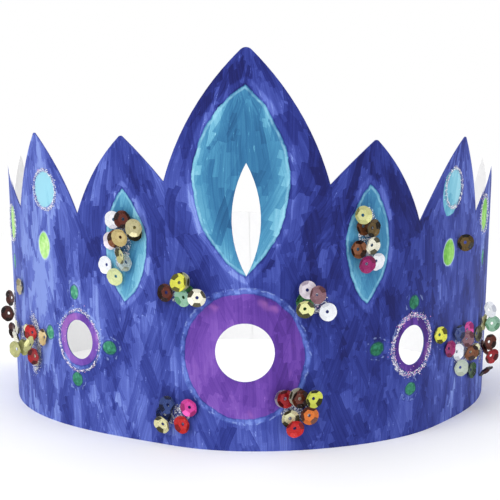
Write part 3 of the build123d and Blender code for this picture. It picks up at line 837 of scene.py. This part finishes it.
def flakeQuads(spots, lifts, size, seed):
    # small square flakes on the wall at their lifts: each has the wall's normal tipped by a random share
    # of its upright and its sideways direction, and is turned by a random angle about it
    chance = np.random.default_rng(seed)
    count = len(spots)
    middle = wall.point(spots[:, 0] * mm, spots[:, 1] * mm, lifts * mm)
    normal = wall.normalAt(spots[:, 0] * mm)
    up = np.cross(normal, np.cross([0, 0, 1.0], normal))
    side = np.cross(up, normal)
    tilt = chance.normal(0, 0.4, (count, 2))
    axis = normal + tilt[:, :1] * up + tilt[:, 1:] * side
    axis /= np.linalg.norm(axis, axis=1, keepdims=True)
    turn = chance.uniform(0, math.pi, count)[:, None]
    a = np.cos(turn) * up + np.sin(turn) * side
    a -= (a * axis).sum(axis=1, keepdims=True) * axis
    a /= np.linalg.norm(a, axis=1, keepdims=True)
    b = np.cross(axis, a)
    half = (size * chance.uniform(0.6, 1.25, count) * mm)[:, None]
    corners = [middle + half * (a * i + b * j) for i, j in ((1, 0.2), (0.2, 1), (-1, -0.2), (-0.2, -1))]
    return np.stack(corners, axis=1).reshape(-1, 3), np.arange(4 * count).reshape(-1, 4)


def gluePiece(name, surfaces, spots, lifts, tones, slot, node, seed):
    # all the beads or dabs of one node, with their loose flakes
    points, quads = [], []
    total = 0
    for grid, closed in surfaces:
        points.append(grid.reshape(-1, 3))
        quads.append(gridFaces(*grid.shape[:2], closedRows=closed) + total)
        total += len(points[-1])
    solid = sum(len(q) for q in quads)
    flakes, flakeFaces = flakeQuads(spots, lifts, glitterSettings["flake"], seed)
    points.append(flakes)
    quads.append(flakeFaces + total)
    kind = np.concatenate([np.zeros(solid), np.ones(len(flakeFaces))])
    piece = newPiece(name, np.vstack(points), np.vstack(quads), [glueMaterial, flakeMaterial], slot, node, True, kind)
    # each flake's tone, from which its painted glint is coloured
    giveFaces(piece, "tone", np.concatenate([np.zeros(solid), tones]))


def ringPath(x, y, rx, ry, seed):
    # an oval whose two radii grow and shrink together by the uneven line
    turn = np.linspace(0, 2 * math.pi, 150, endpoint=False)
    grow = 1 + wobble(turn, glitterSettings["uneven"]["ring"], seed)
    return np.stack([x + rx * grow * np.cos(turn), y + ry * grow * np.sin(turn)], axis=1)


def makeRings(name, node, rings, s, seed):
    # flakes lie thickest on the bead, and their lift falls off with the distance from it as a bell curve
    surfaces, spots, lifts, tones = [], [], [], []
    for index, (x, y, rx, ry, width, count, pink) in enumerate(rings):
        path = ringPath(x, y, rx, ry, seed + index)
        surfaces.append((beadPoints(path, width, s["rise"], seed + 10 * index), True))
        stray = np.where(scatter.uniform(0, 1, count) < s["stray"], s["strayWay"], width * 0.36)[:, None]
        picks = path[scatter.integers(0, len(path), count)] + scatter.normal(0, 1, (count, 2)) * stray
        gap = np.abs(np.hypot((picks[:, 0] - x) / rx, (picks[:, 1] - y) / ry) - 1) * rx
        spots.append(picks)
        lifts.append(0.08 + 0.5 * np.exp(-(gap / (width * 0.5)) ** 2))
        isPink = scatter.uniform(0, 1, count) < pink
        pinkTone = scatter.uniform(s["pinkFrom"], 1, count)
        tones.append(np.where(isPink, pinkTone, scatter.uniform(0.18, s["bright"], count)))
    gluePiece(name, surfaces, np.vstack(spots), np.concatenate(lifts), np.concatenate(tones), "glitter", node, seed)


def makeBow(s, bright):
    # a bow on its own circle, about a point left of it
    count = s["flakes"]
    reach = math.asin(s["reach"] / s["radius"])
    turn = np.linspace(-reach, reach, 70)
    path = np.array(s["middle"]) + s["radius"] * np.stack([np.cos(turn), np.sin(turn)], axis=1)
    surface = beadPoints(path, s["width"], s["rise"], 77, closed=False)
    picks = path[scatter.integers(0, len(path), count)] + scatter.normal(0, s["spread"], (count, 2))
    lifts = scatter.uniform(0.1, 0.5, count)
    tones = scatter.uniform(0, bright, count)
    gluePiece("glitterBow", [(surface, False)], picks, lifts, tones, "glitter", "glitter_band", 31)


def makeDabs(s):
    # flat domes: height falls from the middle as the root of one minus the square of the radius
    turn = np.linspace(0, 2 * math.pi, 40, endpoint=False)
    radius = np.sqrt(np.linspace(0, 1, 8))
    surfaces, spots, lifts = [], [], []
    for index, (x, y, wide, tall) in enumerate(s["dabs"]):
        edge = (1 + wobble(turn, s["uneven"]["dab"], 50 + index)) * 0.96
        r = radius[None] * edge[:, None]
        lift = s["dabRise"] * np.sqrt(np.clip(1 - radius ** 2, 0, 1))[None] + np.zeros_like(r) - 0.02
        across, up = x + wide / 2 * r * np.cos(turn)[:, None], y + tall / 2 * r * np.sin(turn)[:, None]
        surfaces.append((wall.point(across * mm, up * mm, lift * mm)[:, ::-1], True))
        count = int(wide * tall * s["dabFlakes"])
        around = scatter.uniform(0, 2 * math.pi, count)
        out = np.sqrt(scatter.uniform(0, 1, count)) * 1.02
        spots.append(np.stack([x + wide / 2 * out * np.cos(around), y + tall / 2 * out * np.sin(around)], axis=1))
        lifts.append(0.06 + 0.42 * np.sqrt(np.clip(1 - out ** 2, 0, 1)))
    spots = np.vstack(spots)
    tones = scatter.uniform(0, 0.86, len(spots))
    gluePiece("glueDabs", surfaces, spots, np.concatenate(lifts), tones, "glue", "glue_dabs", 61)


makeRings("holeRings", "glitter_hole_rings", glitterSettings["holeRings"], glitterSettings, 100)
makeRings("circleRings", "glitter_circle_rings", glitterSettings["circleRings"], glitterSettings, 200)
makeBow(glitterSettings["bow"], glitterSettings["bright"])
makeDabs(glitterSettings)
print("glitter and glue made")


floorSettings = dict(size=40.0, colour=(0.98, 0.98, 0.98, 1.0), fadeFrom=0.16, fadeTo=0.5)


def makeFloor(s):
    # plain pale floor that keeps the shadow near the crown and runs out to plain white further off
    half = s["size"] / 2
    mesh = bpy.data.meshes.new("floor")
    mesh.from_pydata([(-half, -half, 0), (half, -half, 0), (half, half, 0), (-half, half, 0)], [], [(0, 1, 2, 3)])
    floor = bpy.data.objects.new("floor", mesh)
    scene.collection.objects.link(floor)
    p = Paint("paleFloor")
    away = p.reach(p.place())
    toCamera, toGloss = (p.node("ShaderNodeLightPath", None, None, ray) for ray in ("Is Camera Ray", "Is Glossy Ray"))
    p.finish({"Base Color": s["colour"], "Roughness": 0.9})
    glow = p.node("ShaderNodeEmission", None, {"Color": (1, 1, 1, 1), "Strength": 1.0})
    lit = Wire(p, p.shader.outputs[0])
    share = toCamera.most(toGloss) * p.rise(away, s["fadeFrom"], s["fadeTo"])
    mixed = p.node("ShaderNodeMixShader", None, {0: share, 1: lit, 2: glow})
    p.feed(p.tree.nodes["Material Output"].inputs["Surface"], mixed)
    mesh.materials.append(p.material)


makeFloor(floorSettings)

# square soft lamps by their place and size in metres and their power, and the strength of the world
lightSettings = dict(
    lamps=dict(
        key=dict(place=(-0.75, -0.95, 0.95), size=0.8, power=9.0),
        fill=dict(place=(0.9, -0.9, 0.45), size=0.9, power=3.0),
        back=dict(place=(0.0, 0.8, 1.0), size=0.9, power=3.2),
        top=dict(place=(0.0, -0.2, 1.2), size=1.2, power=3.6),
    ),
    aim=(0, 0, 0.05), world=0.61, seen=1.0,
)


def makeLights(s):
    # each lamp is turned so that its back points away from the middle of the crown
    for name, lamp in s["lamps"].items():
        data = bpy.data.lights.new(name, "AREA")
        data.shape = "SQUARE"
        data.size = lamp["size"]
        data.energy = lamp["power"]
        light = bpy.data.objects.new(name, data)
        scene.collection.objects.link(light)
        light.location = lamp["place"]
        away = np.array(lamp["place"]) - np.array(s["aim"])
        flat = math.hypot(away[0], away[1])
        light.rotation_euler = (math.atan2(flat, away[2]), 0.0, math.atan2(away[0], -away[1]))
    world = bpy.data.worlds.new("studio")
    scene.world = world
    world.use_nodes = True
    tree = world.node_tree
    soft, plain = tree.nodes["Background"], tree.nodes.new("ShaderNodeBackground")
    for shader, strength in ((soft, s["world"]), (plain, s["seen"])):
        shader.inputs["Color"].default_value = (1, 1, 1, 1)
        shader.inputs["Strength"].default_value = strength
    path = tree.nodes.new("ShaderNodeLightPath")
    mixed = tree.nodes.new("ShaderNodeMixShader")
    tree.links.new(path.outputs["Is Camera Ray"], mixed.inputs[0])
    tree.links.new(soft.outputs[0], mixed.inputs[1])
    tree.links.new(plain.outputs[0], mixed.inputs[2])
    tree.links.new(mixed.outputs[0], tree.nodes["World Output"].inputs["Surface"])


makeLights(lightSettings)
print("studio made")
